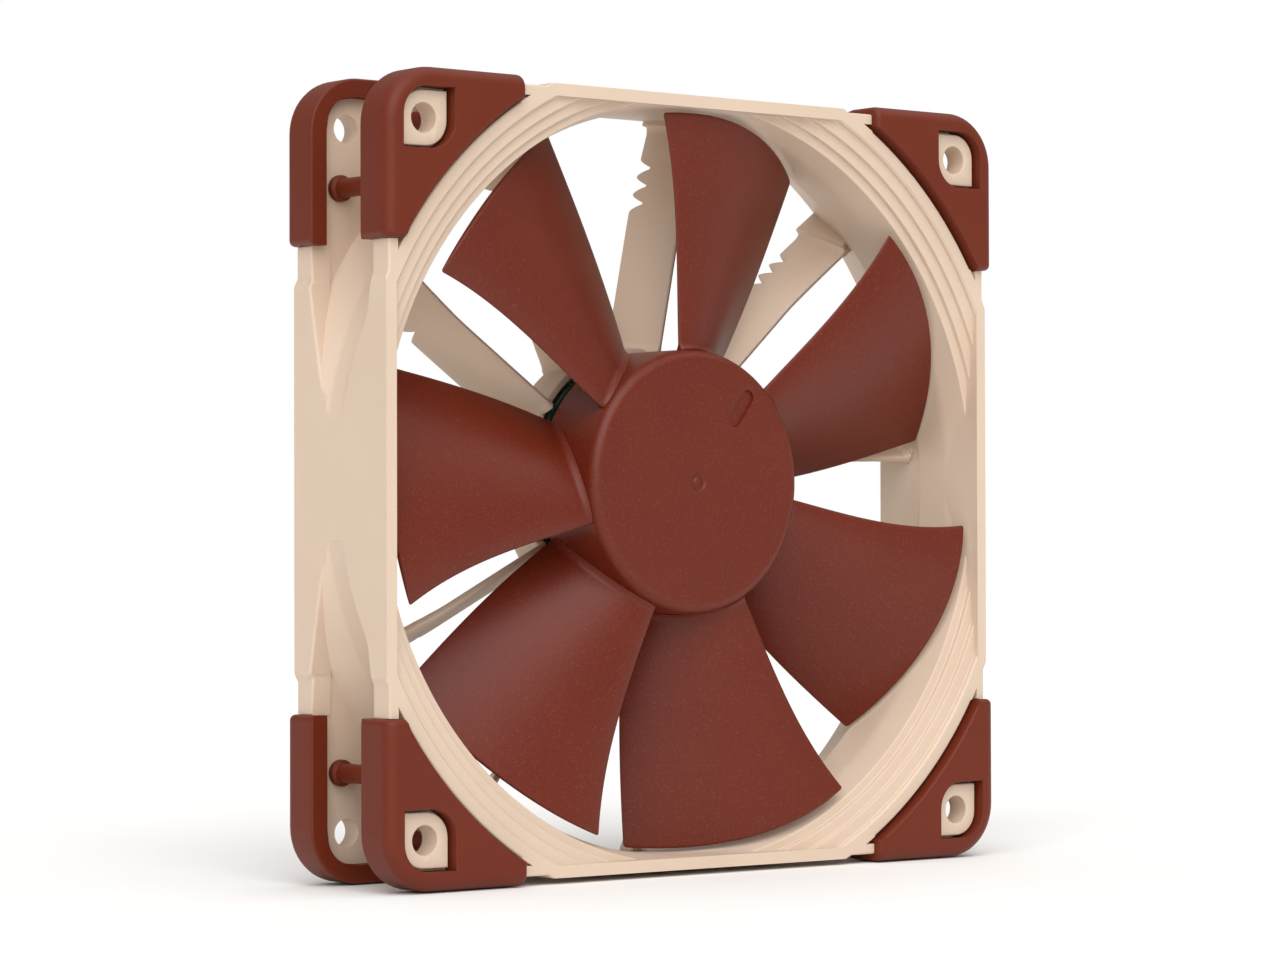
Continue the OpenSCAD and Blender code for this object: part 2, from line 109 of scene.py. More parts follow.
def ends(edge, test):
    """True where both ends of the edge pass the test on (x, height, z)."""
    return all(test(v.co.x, -v.co.y, v.co.z) for v in edge.verts)


def ease(obj, size, test, segments=3):
    """Bevels the edges whose two ends pass the test."""
    choose(obj, "edges", lambda e: ends(e, test))
    bpy.ops.mesh.bevel(offset=size, segments=segments, affect="EDGES")
    leave()


def modify(obj, kind, **settings):
    """Adds a modifier and applies it."""
    modifier = take(obj).modifiers.new(kind.lower(), kind)
    for key, value in settings.items():
        setattr(modifier, key, value)
    bpy.ops.object.modifier_apply(modifier=modifier.name)
    return obj


def combine(obj, other, operation):
    """Unites, cuts or clips obj with other, which is used up."""
    modify(obj, "BOOLEAN", object=other, operation=operation, solver="MANIFOLD")
    bpy.data.objects.remove(other)
    return obj


def block(name, low, high, corner=0, segments=8):
    """A box between two corners (x, height, z), with its edges along the axis rounded."""
    middle = [(a + b) / 2 for a, b in zip(low, high)]
    size = [b - a for a, b in zip(low, high)]
    bpy.ops.mesh.primitive_cube_add(size=1, location=(middle[0], -middle[1], middle[2]), scale=size)
    obj = fresh(name)
    if corner:
        choose(obj, "edges", lambda e: abs(e.verts[0].co.y - e.verts[1].co.y) > size[1] / 2)
        bpy.ops.mesh.bevel(offset=corner, segments=segments, affect="EDGES")
        leave()
    return obj


def rounded(outline, corners, segments=5):
    """The outline with an arc in place of each corner in corners, {index: radius}."""
    points = []
    for index, point in enumerate(outline):
        if index not in corners:
            points.append(point)
            continue
        here = Vector(point)
        before = Vector(outline[index - 1]) - here
        after = Vector(outline[(index + 1) % len(outline)]) - here
        opening = before.angle(after)
        reach = corners[index] / math.tan(opening / 2)
        start, end = here + before.normalized() * reach, here + after.normalized() * reach
        centre = here + (before.normalized() + after.normalized()).normalized() * (
            corners[index] / math.sin(opening / 2))
        turn = (start - centre).angle_signed(end - centre)
        for step in range(segments + 1):
            arm = start - centre
            arm.rotate(Matrix.Rotation(-turn * step / segments, 2))
            points.append(tuple(centre + arm))
    return points


def lathe(name, outline, steps=180, at=(0, 0)):
    """Turns a closed outline of (radius, height) points round an axis along Y."""
    bpy.ops.mesh.primitive_circle_add(vertices=len(outline), radius=1)
    obj = fresh(name)
    for vertex, (radius, height) in zip(obj.data.vertices, outline):
        vertex.co = (radius + at[0], -height, at[1])
    choose(obj, "verts", lambda v: True)
    bpy.ops.mesh.spin(steps=steps, angle=2 * math.pi, center=(at[0], 0, at[1]), axis=(0, 1, 0))
    bpy.ops.mesh.select_all(action="SELECT")
    bpy.ops.mesh.remove_doubles(threshold=0.001)
    bpy.ops.mesh.normals_make_consistent(inside=False)
    leave()
    return obj


def prism(name, outline, low, high, place):
    """A filled outline extruded; place(u, v, w) puts an outline point at depth w."""
    bpy.ops.mesh.primitive_circle_add(vertices=len(outline), fill_type="NGON")
    obj = fresh(name)
    for vertex, (u, v) in zip(obj.data.vertices, outline):
        vertex.co = place(u, v, low)
    choose(obj, "faces", lambda f: True)
    depth = Vector(place(0, 0, high)) - Vector(place(0, 0, low))
    bpy.ops.mesh.extrude_region_move(TRANSFORM_OT_translate={"value": depth})
    bpy.ops.mesh.select_all(action="SELECT")
    bpy.ops.mesh.normals_make_consistent(inside=False)
    leave()
    return obj


def flat_on(u, v, w):
    """Outline in the plane across the rotor axis, depth towards the intake."""
    return (u, -w, v)


def on_side(u, v, w):
    """Outline seen on the top side: along X, height; depth upwards."""
    return (u, -v, w)


def turned(obj, degrees, mirrored=False):
    """A copy with its own mesh, turned about the rotor axis and, if asked, swapped to the rear."""
    copy = obj.copy()
    copy.data = obj.data.copy()
    bpy.context.collection.objects.link(copy)
    turn = Matrix.Rotation(-math.radians(degrees), 4, "Y")
    if mirrored:
        turn = turn @ Matrix.Scale(-1, 4, Vector((0, 1, 0)))
    copy.data.transform(turn)
    if mirrored:
        copy.data.flip_normals()
    return copy


quarters = (0, 90, 180, 270)

frame_shell = lathe("frame_shell", rounded([
    (duct_radius - 5, face), (lip_radius, face), (lip_radius, flange_inner),
    (duct_outer, flange_inner), (duct_outer, flare_top - 1.4), (duct_outer + 2.5, -flange_inner),
    (lip_radius, -flange_inner),
    (lip_radius, -face), (duct_radius - 5, -face)], {1: edge_round, 4: 2, 7: edge_round}))
combine(frame_shell, block("clip", (-side_wide, -face, -side_wide), (side_wide, face, side_wide)),
        "INTERSECT")
for low, high in ((flange_inner, pocket_floor), (-pocket_floor, -flange_inner)):
    combine(frame_shell, block("corner_plate", (-pocket_half, low, -pocket_half),
                               (pocket_half, high, pocket_half), pocket_corner), "UNION")

# A side wall is widest along the middle and steps in near the pads. Two hollows open from its
# middle towards the corners; their floor is the outside of the duct.
wall_inside = 55.5
wall_end = pad_end + 0.1
wide_end, slim_start = 28.7, 29.4       # the step between them is a short slant
side_wall = prism("side_wall", [
    (wall_end, wall_inside), (wall_end, side_slim), (slim_start, side_slim),
    (wide_end, side_wide), (-wide_end, side_wide), (-slim_start, side_slim),
    (-wall_end, side_slim), (-wall_end, wall_inside)], -face, face, flat_on)
ease(side_wall, edge_round, lambda x, h, z: abs(h) > face - near and z > side_slim - near)
hollow_start = 9
hollow = [(40, 8.1), (29, 7.7), (24, 6.9), (19, 3.9), (15, 2.0), (hollow_start, 0.2),
          (hollow_start, -3.6), (16, -5.2), (22, -6.5), (29, -7.9), (40, -8.1)]
for way in (1, -1):
    outline = rounded([(way * u, v) for u, v in hollow],
                      {1: 6, 2: 6, 3: 6, 4: 8, 5: 0.6, 6: 0.6, 7: 8, 8: 8, 9: 6})
    combine(side_wall, prism("hollow", outline, wall_inside - 1, side_wide + 1, on_side),
            "DIFFERENCE")
ease(side_wall, 0.4, lambda x, h, z: abs(h) < flange_inner + near and z > side_slim - near
     and hollow_start < abs(x) < wall_end - near)
for angle in quarters:
    combine(frame_shell, turned(side_wall, angle), "UNION")
bpy.data.objects.remove(side_wall)

# The pockets under the pads: all that lies outside the round lip in the corners.
pocket_top = face + 1
pocket = block("pocket", (pad_end - 5, pocket_floor, pad_end - 5),
               (pocket_half, pocket_top, pocket_half))
combine(pocket, block("pocket_end", (pad_end - 0.1, pocket_floor, pad_end - 0.1),
                      (64, pocket_top, 64)), "UNION")
combine(pocket, lathe("lip", [(0, 0), (lip_radius, 0), (lip_radius, face),
                              (lip_radius, face + 4), (0, face + 4)], 240), "DIFFERENCE")
for mirrored in (False, True):
    for angle in quarters:
        combine(frame_shell, turned(pocket, angle, mirrored), "DIFFERENCE")
bpy.data.objects.remove(pocket)

# Tiles that carry the screw holes: two corners rounded, on the frame's diagonal.
tile = block("tile", (hole_at - tile_half, pocket_floor - 0.5, hole_at - tile_half),
             (hole_at + tile_half, face, hole_at + tile_half))
choose(tile, "edges", lambda e: abs(e.verts[0].co.y - e.verts[1].co.y) > 1
       and abs(e.verts[0].co.x - e.verts[0].co.z) < near)
bpy.ops.mesh.bevel(offset=tile_round, segments=10, affect="EDGES")
leave()
ease(tile, 0.3, lambda x, h, z: h > face - near)
for mirrored in (False, True):
    for angle in quarters:
        combine(frame_shell, turned(tile, angle, mirrored), "UNION")
bpy.data.objects.remove(tile)

# The way through: three steps, the duct, and an outlet that widens towards the corners and is
# cut off flat along the sides.
step_radii = (63.7, 61.7, 59.9)
step_levels = (11.1, 10.3, 9.4)
passage = lathe("passage", rounded([
    (0, through), (step_radii[0] + 0.3, through), (step_radii[0] + 0.3, face),
    (step_radii[0], face - 0.3), (step_radii[0], step_levels[0]), (step_radii[1], step_levels[0]),
    (step_radii[1], step_levels[1]), (step_radii[2], step_levels[1]),
    (step_radii[2], step_levels[2]), (duct_radius + 1.1, step_levels[2]), (duct_radius, 4.8),
    (duct_radius, flare_top), (outlet_radius, -face), (outlet_radius, -through),
    (0, -through)], {3: 0.2, 4: 0.2, 5: 0.22, 6: 0.2, 7: 0.22, 8: 0.2, 9: 0.25, 10: 8, 11: 0.8},
    segments=4), steps=240)
flats = block("flats", (-duct_radius, flare_top, -duct_radius),
              (duct_radius, beyond, duct_radius))
choose(flats, "faces", lambda f: f.calc_center_median().y > -flare_top - near)
bpy.ops.mesh.extrude_region_move(TRANSFORM_OT_translate={"value": (0, face + flare_top, 0)})
bpy.ops.transform.resize(value=(outlet_flat / duct_radius, 1, outlet_flat / duct_radius))
bpy.ops.mesh.extrude_region_move(TRANSFORM_OT_translate={"value": (0, 8, 0)})
leave()
combine(passage, flats, "INTERSECT")
combine(frame_shell, passage, "DIFFERENCE")

screw_hole = lathe("screw_hole", [
    (0, through), (hole_radius + hole_rim, through), (hole_radius + hole_rim, face),
    (hole_radius + 0.1, face - 0.12), (hole_radius, face - 0.4), (hole_radius, -face + 0.4),
    (hole_radius + 0.1, -face + 0.12), (hole_radius + hole_rim, -face),
    (hole_radius + hole_rim, -through), (0, -through)], 48, (hole_at, hole_at))
for angle in quarters:
    combine(frame_shell, turned(screw_hole, angle), "DIFFERENCE")
bpy.data.objects.remove(screw_hole)


def peg_spot(quarter, mirrored):
    """A front pad's peg is on its top or bottom leg, and a rear pad's on its side leg."""
    return peg_at[::-1] if (quarter + mirrored) % 2 == 0 else peg_at


peg_hole_radius = peg_radius + 0.05
peg_hole_end = 6
for mirrored in (False, True):
    for quarter, angle in enumerate(quarters):
        peg_hole = lathe("peg_hole", [(0, through), (peg_hole_radius, through),
                                      (peg_hole_radius, peg_hole_end), (0, peg_hole_end)], 32,
                         peg_spot(quarter, mirrored))
        combine(frame_shell, turned(peg_hole, angle, mirrored), "DIFFERENCE")
        bpy.data.objects.remove(peg_hole)


# ---------- Guide vanes and motor base ----------
# Eleven unevenly spaced vanes join the duct to the round motor base. They belong to the same
# moulding: each leans sideways towards the exhaust and has three notches in its rear edge.
base_radius = 21.3
base_rim = -5.4             # top of the motor base's rim
base_plate = -10.4          # floor inside the rim, under the circuit board
vane_front = -3.9
vane_lean = 4.0
vane_sweep = 1.2            # how far a vane's outer end bends back
sweep_start = 42            # the radius where it starts to
vane_root = 0.85            # extra thickness where a vane fills the flare of the outlet
vane_fillet = 1.6           # reach of the thickening next to the wall
vane_thickness = 1.1
vane_nose, vane_tail = 0.22, 0.86       # shares of a side that the round front and rear take
vane_angles = (5.5, 42.5, 78.5, 114.5, 145, 176, 207, 239, 270.5, 302, 334)
notches = (44.7, 47.65, 50.6)
notch_depth = 2.0


def loft(name, around, along, point):
    """A closed skin over a grid: point(a, b) with a once round the section, b along the piece.
    The first and last sections are pinched flat, so that the skin closes on itself."""
    bpy.ops.mesh.primitive_grid_add(x_subdivisions=around, y_subdivisions=along, size=2)
    obj = fresh(name)
    for vertex in obj.data.vertices:
        across, length = vertex.co.x / 2 + 0.5, vertex.co.y / 2 + 0.5
        vertex.co = point(round(across * around) / around % 1, round(length * along))
    choose(obj, "verts", lambda v: True)
    bpy.ops.mesh.remove_doubles(threshold=0.0005)
    bpy.ops.mesh.dissolve_degenerate(threshold=0.0001)
    bpy.ops.mesh.select_all(action="SELECT")
    bpy.ops.mesh.normals_make_consistent(inside=False)
    leave()
    return obj


def notch_at(radius):
    """How far the rear edge is cut back: narrow notches that leave rounded teeth."""
    cut = 0.0
    for middle in notches:
        away = max(0, abs(radius - middle) - 0.15) / 1.35
        if away < 1:
            cut = max(cut, notch_depth * (1 - away) ** 1.6)
    return cut


def vane_centre(depth):
    """Sideways place and height of the vane's middle line, depth 0 at the front, 1 at the rear."""
    return Vector((vane_lean * (1 - (1 - depth) ** 1.35), vane_front - depth * (face + vane_front)))


vane_stations = sorted(
    [base_radius - 0.6 + 0.02 * k for k in (0, 1)]
    + [base_radius + 0.05 + 0.25 * k for k in range(5)]
    + [base_radius + 2 + 2.2 * k for k in range(9)]
    + [42.9 + 0.15 * k for k in range(63)]
    + [53.5, 55] + [55.7 + 0.2 * k for k in range(9)]
    + [duct_radius - 0.02, duct_radius + 0.02, 59, 61, 63.5, 63.51])
vane_chord = 26             # faces from the front edge to the rear, on each side


def vane_point(a, row):
    """A point on the vane: a runs round its section, row is the station along it."""
    radius = vane_stations[row]
    pinched = row in (0, len(vane_stations) - 1)
    side = 1 if a < 0.5 else -1
    t = a * 2 if a < 0.5 else 2 - a * 2
    depth = 0.5 - 0.5 * math.cos(math.pi * t)
    depth *= 1 - notch_at(radius) / (face + vane_front)
    ahead = vane_centre(min(1, depth + 0.02)) - vane_centre(max(0, depth - 0.02))
    ahead.normalize()
    near_wall = max(0, min(radius, duct_radius) - (duct_radius - vane_fillet)) / vane_fillet
    near_hub = max(0, base_radius + 1 - radius)
    flare = 1 + 0.9 * min(1, near_wall) ** 2.5 + 0.5 * min(1, near_hub) ** 2
    front_round = math.sqrt(max(0.0, 1 - (1 - min(1, t / vane_nose)) ** 2))
    half = vane_thickness / 2 * flare * (0 if pinched else front_round)
    back = max(0, (t - vane_tail) / (1 - vane_tail))
    rear_round = math.sqrt(max(0.0, 1 - back ** 3))
    spot = vane_centre(depth) + Vector((-ahead.y, ahead.x)) * half * side * rear_round
    outwards = max(0, radius - sweep_start) / (duct_radius - sweep_start)
    sideways = spot.x - vane_sweep * outwards ** 1.2
    if radius > duct_radius and side > 0 and not pinched:
        sideways += vane_root
    return (radius, -spot.y, sideways)


vane = loft("vane", 2 * vane_chord, len(vane_stations) - 1, vane_point)
combine(vane, block("clip", (0, -face, -20), (70, 0, 20)), "INTERSECT")

# The base is a shallow dish: a recess for the label outside, and inside it the socket of the
# bearing tube, four posts that hold the circuit board and the slot where the cable leaves.
label_recess = 0.4 - face
recess_radius = 19.0
rim_inside = 20.2
socket_radius, socket_bore = 6, 4.3
socket_top = base_plate + 1.8
socket_floor = base_plate + 0.4
motor_base = lathe("motor_base", [
    (0, label_recess), (recess_radius - 0.4, label_recess), (recess_radius, -face)] + rounded([
        (recess_radius, -face), (base_radius, -face), (base_radius, base_rim),
        (rim_inside, base_rim), (rim_inside, base_plate), (socket_radius, base_plate)],
        {1: 0.45, 2: 0.25, 3: 0.25, 4: 0.4}, segments=4)[1:]
    + [(socket_radius, socket_top), (socket_bore, socket_top), (socket_bore, socket_floor),
       (0, socket_floor)], steps=144)
slot_angle = 286
slot_half = 2.2
cable_slot = block("cable_slot", (base_radius - 3, base_plate, -slot_half),
                   (base_radius + 2, base_plate + 1.8, slot_half))
combine(motor_base, turned(cable_slot, slot_angle), "DIFFERENCE")
bpy.data.objects.remove(cable_slot)
post_at = 15.5
post_radius = 1.6
post_top = -5.3
for angle in (45, 135, 225, 315):
    post = lathe("post", [(0, base_plate - 0.2), (post_radius, base_plate - 0.2),
                          (post_radius, post_top), (0, post_top)], 24, (post_at, 0))
    combine(motor_base, turned(post, angle), "UNION")
    bpy.data.objects.remove(post)
combine(frame_shell, motor_base, "UNION")
vanes = turned(vane, vane_angles[0])
for angle in vane_angles[1:]:
    combine(vanes, turned(vane, angle), "UNION")
bpy.data.objects.remove(vane)
bite = 0.6                  # how far a vane's outer end runs into the wall
room = lathe("vane_room", [(0, 0), (duct_radius + bite, 0), (duct_radius + bite, flare_top),
                           (outlet_radius + bite, -face), (0, -face)], 240)
combine(room, block("room_flats", (-duct_radius - bite, -beyond, -duct_radius - bite),
                    (duct_radius + bite, beyond, duct_radius + bite)), "INTERSECT")
combine(vanes, room, "INTERSECT")
combine(frame_shell, vanes, "UNION")


def settle(obj, angle=35):
    """Drops pairs of faces that lie back to back, brings a finished piece from millimetres to
    metres and gives it soft shading."""
    cleaned = bmesh.new()
    cleaned.from_mesh(obj.data)
    bmesh.ops.triangulate(cleaned, faces=[f for f in cleaned.faces if len(f.verts) > 4])
    twins = {}
    for face in cleaned.faces:
        twins.setdefault(frozenset(face.verts), []).append(face)
    bmesh.ops.delete(cleaned, context="FACES",
                     geom=[f for pair in twins.values() if len(pair) == 2 for f in pair])
    cleaned.to_mesh(obj.data)
    cleaned.free()
    take(obj).scale = (0.001, 0.001, 0.001)
    bpy.ops.object.transform_apply(location=True, rotation=True, scale=True)
    bpy.ops.object.shade_smooth_by_angle(angle=math.radians(angle))
    modify(obj, "WEIGHTED_NORMAL", keep_sharp=True)
    return obj


def linear(code):
    """An sRGB hex colour as linear RGBA."""
    parts = [int(code[k:k + 2], 16) / 255 for k in (1, 3, 5)]
    return [c / 12.92 if c <= 0.04045 else ((c + 0.055) / 1.055) ** 2.4 for c in parts] + [1.0]


def add(tree, kind, inputs=None, **settings):
    """Adds a node, sets it up, and fills or links its inputs."""
    made = tree.nodes.new(kind)
    for key, value in settings.items():
        setattr(made, key, value)
    for key, value in (inputs or {}).items():
        if isinstance(value, bpy.types.NodeSocket):
            tree.links.new(value, made.inputs[key])
        else:
            made.inputs[key].default_value = value
    return made


def begin(name):
    """A new material with an empty shader and its Object coordinates."""
    material = bpy.data.materials.new(name)
    material.use_nodes = True
    tree = material.node_tree
    shader = tree.nodes["Principled BSDF"]
    place = tree.nodes.new("ShaderNodeTexCoord").outputs["Object"]
    return material, tree, shader, place


# Matt moulded PBT: a warm beige with a slight cloudiness from the glass fibre, and a fine
# spark-eroded texture of about 0.3 mm that keeps every reflection soft.
frame_pbt, tree, shader, place = begin("glass_filled_PBT_beige")
cloud = add(tree, "ShaderNodeTexNoise", {"Vector": place, "Scale": 60.0, "Detail": 4.0})
tone = add(tree, "ShaderNodeMix", {"Factor": cloud.outputs["Fac"]}, data_type="RGBA")
tone.inputs[6].default_value = linear("#D0B8A2")
tone.inputs[7].default_value = linear("#D9C3AE")
tree.links.new(tone.outputs[2], shader.inputs["Base Color"])
grain = add(tree, "ShaderNodeTexNoise", {"Vector": place, "Scale": 3000.0, "Detail": 2.0})
matt = add(tree, "ShaderNodeMapRange", {"Value": grain.outputs["Fac"], "To Min": 0.46,
                                        "To Max": 0.6})
tree.links.new(matt.outputs["Result"], shader.inputs["Roughness"])
dents = add(tree, "ShaderNodeBump", {"Height": grain.outputs["Fac"], "Strength": 0.12,
                                     "Distance": 0.0001})
tree.links.new(dents.outputs["Normal"], shader.inputs["Normal"])
shader.inputs["IOR"].default_value = 1.5

settle(frame_shell)
frame_shell.data.materials.clear()
frame_shell.data.materials.append(frame_pbt)
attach(frame_shell, "housing")
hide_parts("frame", "guide_vanes", "motor_base")

# ---------- Corner pads ----------
# Eight soft red-brown silicone pads, four a side, moulded and pulled on to the corners. Each
# has a leaf-shaped window round the screw tile and a peg with a bead that snaps in behind
# the flange.
pad_half = 60               # half-width of the fan over its pads
pad_top = 13.5
pad_rim = 6.3               # where the rim ends, behind the flange
pad_corner = 8.5            # radius of the outer corner, seen from the front
pad_edge = 2.0              # radius from the front face to the sides
pad_leg_round = 0.9         # rounding at the end of a leg
pad_arc = lip_radius + 0.6
pad_gap = 0.05              # play between the pad and the frame
window_gap = 0.4            # the same round a screw tile
window_half = tile_half + window_gap


def on_pad_side(x, z):
    """True on the outer sides of the pad and on the round corner between them."""
    return (max(x, z) > pad_half - 0.1
            or (x > pad_half - pad_corner and z > pad_half - pad_corner))


corner_pad = block("corner_pad", (pad_end, pad_rim, pad_end), (pad_half, pad_top, pad_half))
choose(corner_pad, "edges",
       lambda e: ends(e, lambda x, h, z: min(x, z) > pad_half - 0.1))
bpy.ops.mesh.bevel(offset=pad_corner, segments=14, affect="EDGES")
leave()
ease(corner_pad, pad_edge, lambda x, h, z: h > pad_top - near and on_pad_side(x, z), 7)
ease(corner_pad, 0.4, lambda x, h, z: h < pad_rim + near and on_pad_side(x, z))
ease(corner_pad, pad_leg_round,
     lambda x, h, z: min(x, z) < pad_end + near and h > pad_rim + near, 5)
combine(corner_pad, block("cavity", (20, 0, 20), (
    pocket_half + pad_gap, pocket_floor + pad_gap, pocket_half + pad_gap), pocket_corner, 10),
    "DIFFERENCE")
window = block("window", (hole_at - window_half, 5, hole_at - window_half),
               (hole_at + window_half, 15, hole_at + window_half))
choose(window, "edges", lambda e: abs(e.verts[0].co.y - e.verts[1].co.y) > 1
       and abs(e.verts[0].co.x - e.verts[0].co.z) < near)
bpy.ops.mesh.bevel(offset=tile_round + window_gap, segments=10, affect="EDGES")
leave()
combine(corner_pad, window, "DIFFERENCE")
combine(corner_pad, lathe("arc_cut", [(0, 0), (pad_arc, 0), (pad_arc, beyond), (0, beyond)], 240),
        "DIFFERENCE")
ease(corner_pad, 0.5, lambda x, h, z: h > pad_top - near
     and abs(math.hypot(x, z) - pad_arc) < 0.03)
ease(corner_pad, 0.2, lambda x, h, z: h > pad_top - near
     and max(abs(x - hole_at), abs(z - hole_at)) < window_half + 0.05)

# Moulded silicone rubber: a satin red-brown that goes pale where light grazes it, with a very
# fine matt skin of about 0.25 mm.
silicone, tree, shader, place = begin("silicone_rubber_red_brown")
cloud = add(tree, "ShaderNodeTexNoise", {"Vector": place, "Scale": 90.0, "Detail": 3.0})
tone = add(tree, "ShaderNodeMix", {"Factor": cloud.outputs["Fac"]}, data_type="RGBA")
tone.inputs[6].default_value = linear("#63220E")
tone.inputs[7].default_value = linear("#6C2A15")
tree.links.new(tone.outputs[2], shader.inputs["Base Color"])
grain = add(tree, "ShaderNodeTexNoise", {"Vector": place, "Scale": 4000.0, "Detail": 2.0})
matt = add(tree, "ShaderNodeMapRange", {"Value": grain.outputs["Fac"], "To Min": 0.4,
                                        "To Max": 0.52})
tree.links.new(matt.outputs["Result"], shader.inputs["Roughness"])
dents = add(tree, "ShaderNodeBump", {"Height": grain.outputs["Fac"], "Strength": 0.08,
                                     "Distance": 0.0001})
tree.links.new(dents.outputs["Normal"], shader.inputs["Normal"])
shader.inputs["IOR"].default_value = 1.41
shader.inputs["Specular IOR Level"].default_value = 0.35

# A peg runs from inside the pad through the flange to a tail, with its bead behind the flange.
peg_top, peg_tail = 11.5, -4.8
bead_front = flange_inner - pad_gap
bead_radius = peg_radius + 0.55
peg_outline = rounded([
    (0, peg_top), (peg_radius, peg_top), (peg_radius, bead_front), (bead_radius, bead_front),
    (bead_radius, bead_front - 1), (peg_radius, bead_front - 1.25), (peg_radius, peg_tail),
    (0, peg_tail)], {3: 0.15, 4: 0.3, 5: 0.2, 6: 0.5})
pad_corners = ("top_right", "top_left", "bottom_left", "bottom_right")
corner_pad.data.materials.clear()
corner_pad.data.materials.append(silicone)
for side, mirrored in (("front", False), ("rear", True)):
    for quarter, corner in enumerate(pad_corners):
        pegged = turned(corner_pad, 0)
        combine(pegged, lathe("peg", peg_outline, 40, peg_spot(quarter, mirrored)), "UNION")
        pad = turned(pegged, quarters[quarter], mirrored)
        bpy.data.objects.remove(pegged)
        pad.name = pad.data.name = f"{side}_corner_pad_{corner}"
        settle(pad, 32)
        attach(pad, "housing")
        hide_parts(f"{side}_pad_{corner}")
bpy.data.objects.remove(corner_pad)


# ---------- Impeller ----------
# Hub cap and seven blades in one red-brown glass-filled moulding. The cap's face has a small
# gate dimple in the middle and an oval slot for a balancing weight.
hub_face = 10.7
hub_radius = 20.4
hub_wall = 1.6
hub_skirt = -2.9
tip_radius = 56.8
blade_lead = (95.9, 94.1, 96.2)         # leading edge angle at the hub, middle and tip, degrees
blade_trail = (51.3, 55.8, 59.0)        # trailing edge angle
blade_front = (8.5, 8.7, 9.8)           # leading edge height
blade_rear = (-2.0, -2.0, -1.6)         # trailing edge height
blade_bow = (2.2, 3.4)                  # how far the blade arches, at the hub and the tip
blade_thickness = (1.9, 1.3)
blade_fillet = 1.3                      # reach of the fillet at the blade's root
blade_count = 7

impeller = lathe("impeller_shell", rounded([
    (0, hub_face - 0.05), (0.5, hub_face - 0.05), (0.8, hub_face - 0.28), (1.25, hub_face - 0.28),
    (1.5, hub_face), (hub_radius, hub_face), (hub_radius, hub_skirt),
    (hub_radius - hub_wall, hub_skirt), (hub_radius - hub_wall, hub_face - hub_wall),
    (0, hub_face - hub_wall)], {2: 0.15, 3: 0.15, 4: 0.15, 5: 1.8, 6: 0.25}, segments=8), steps=180)
weight_slot_at = 14.3                   # the balancing slot's middle, from the axis
weight_slot_angle = 53
slot_long, slot_wide = 3.3, 1.2         # half its length and half its width
slot = block("slot", (weight_slot_at - slot_long, hub_face - 0.45, -slot_wide),
             (weight_slot_at + slot_long, hub_face + 1, slot_wide), slot_wide - 0.01)
combine(impeller, turned(slot, weight_slot_angle), "DIFFERENCE")
bpy.data.objects.remove(slot)
slot_x = weight_slot_at * math.cos(math.radians(weight_slot_angle))
slot_z = weight_slot_at * math.sin(math.radians(weight_slot_angle))
ease(impeller, 0.12, lambda x, h, z: h > hub_face - near and 10.5 < math.hypot(x, z) < 18.1
     and math.hypot(x - slot_x, z - slot_z) < 3.5, 2)


def spanwise(values, s):
    """Curve through values at the hub, the middle and the tip."""
    return (values[0] * (1 - s) * (1 - 2 * s) + values[1] * 4 * s * (1 - s)
            + values[2] * s * (2 * s - 1))


blade_stations = (
    [19.7, 19.71] + [hub_radius + 0.1 + 0.16 * k for k in range(9)]
    + [22.4 + 1.32 * k for k in range(25)]
    + [54.9, 55.6, 56.0, 56.25, 56.45, 56.6, 56.7, 56.76, tip_radius, tip_radius])
blade_around = 60


def blade_middle(s, u, radius):
    """The blade's middle surface unrolled: distance round the axis, and height."""
    angle = spanwise(blade_lead, s) * (1 - u) + spanwise(blade_trail, s) * u
    height = spanwise(blade_front, s) * (1 - u) + spanwise(blade_rear, s) * u
    bow = blade_bow[0] + (blade_bow[1] - blade_bow[0]) * s
    return Vector((math.radians(angle) * radius, height + bow * 4 * u * (1 - u)))


def blade_point(a, row):
    """A point on the blade: a runs round its section, row is the station along it."""
    radius = blade_stations[row]
    s = (radius - hub_radius) / (tip_radius - hub_radius)
    side = 1 if a < 0.5 else -1
    t = a * 2 if a < 0.5 else 2 - a * 2
    u = 0.5 - 0.5 * math.cos(math.pi * t)
    thick = blade_thickness[0] + (blade_thickness[1] - blade_thickness[0]) * s
    half = 0.92 * thick * (1.4845 * math.sqrt(u) - 0.63 * u - 1.758 * u ** 2
                           + 1.4215 * u ** 3 - 0.38 * u ** 4)
    if radius > hub_radius:
        root = max(0, 1 - (radius - hub_radius) / blade_fillet)
        half += 0.9 * root ** 2.2 * math.sin(math.pi * t) ** 0.5
    if t > 0.93:
        half *= math.sqrt(max(0, 1 - ((t - 0.93) / 0.07) ** 2))
    tip_round = max(0, (radius - (tip_radius - 0.45)) / 0.45)
    half *= math.sqrt(max(0, 1 - tip_round ** 2))
    if row in (0, len(blade_stations) - 1):
        half = 0
    corner = max(0, radius - (tip_radius - 0.5))
    trim = (0.5 - math.sqrt(max(0, 0.5 ** 2 - corner ** 2))) / 38
    u = trim + u * (1 - 2 * trim)
    ahead = blade_middle(s, min(1, u + 0.02), radius) - blade_middle(s, max(0, u - 0.02), radius)
    ahead.normalize()
    spot = blade_middle(s, u, radius) + Vector((-ahead.y, ahead.x)) * half * side
    angle = spot.x / radius
    return (radius * math.cos(angle), -spot.y, radius * math.sin(angle))


blade = loft("blade", blade_around, len(blade_stations) - 1, blade_point)
for number in range(blade_count):
    combine(impeller, turned(blade, number * 360 / blade_count), "UNION")
bpy.data.objects.remove(blade)

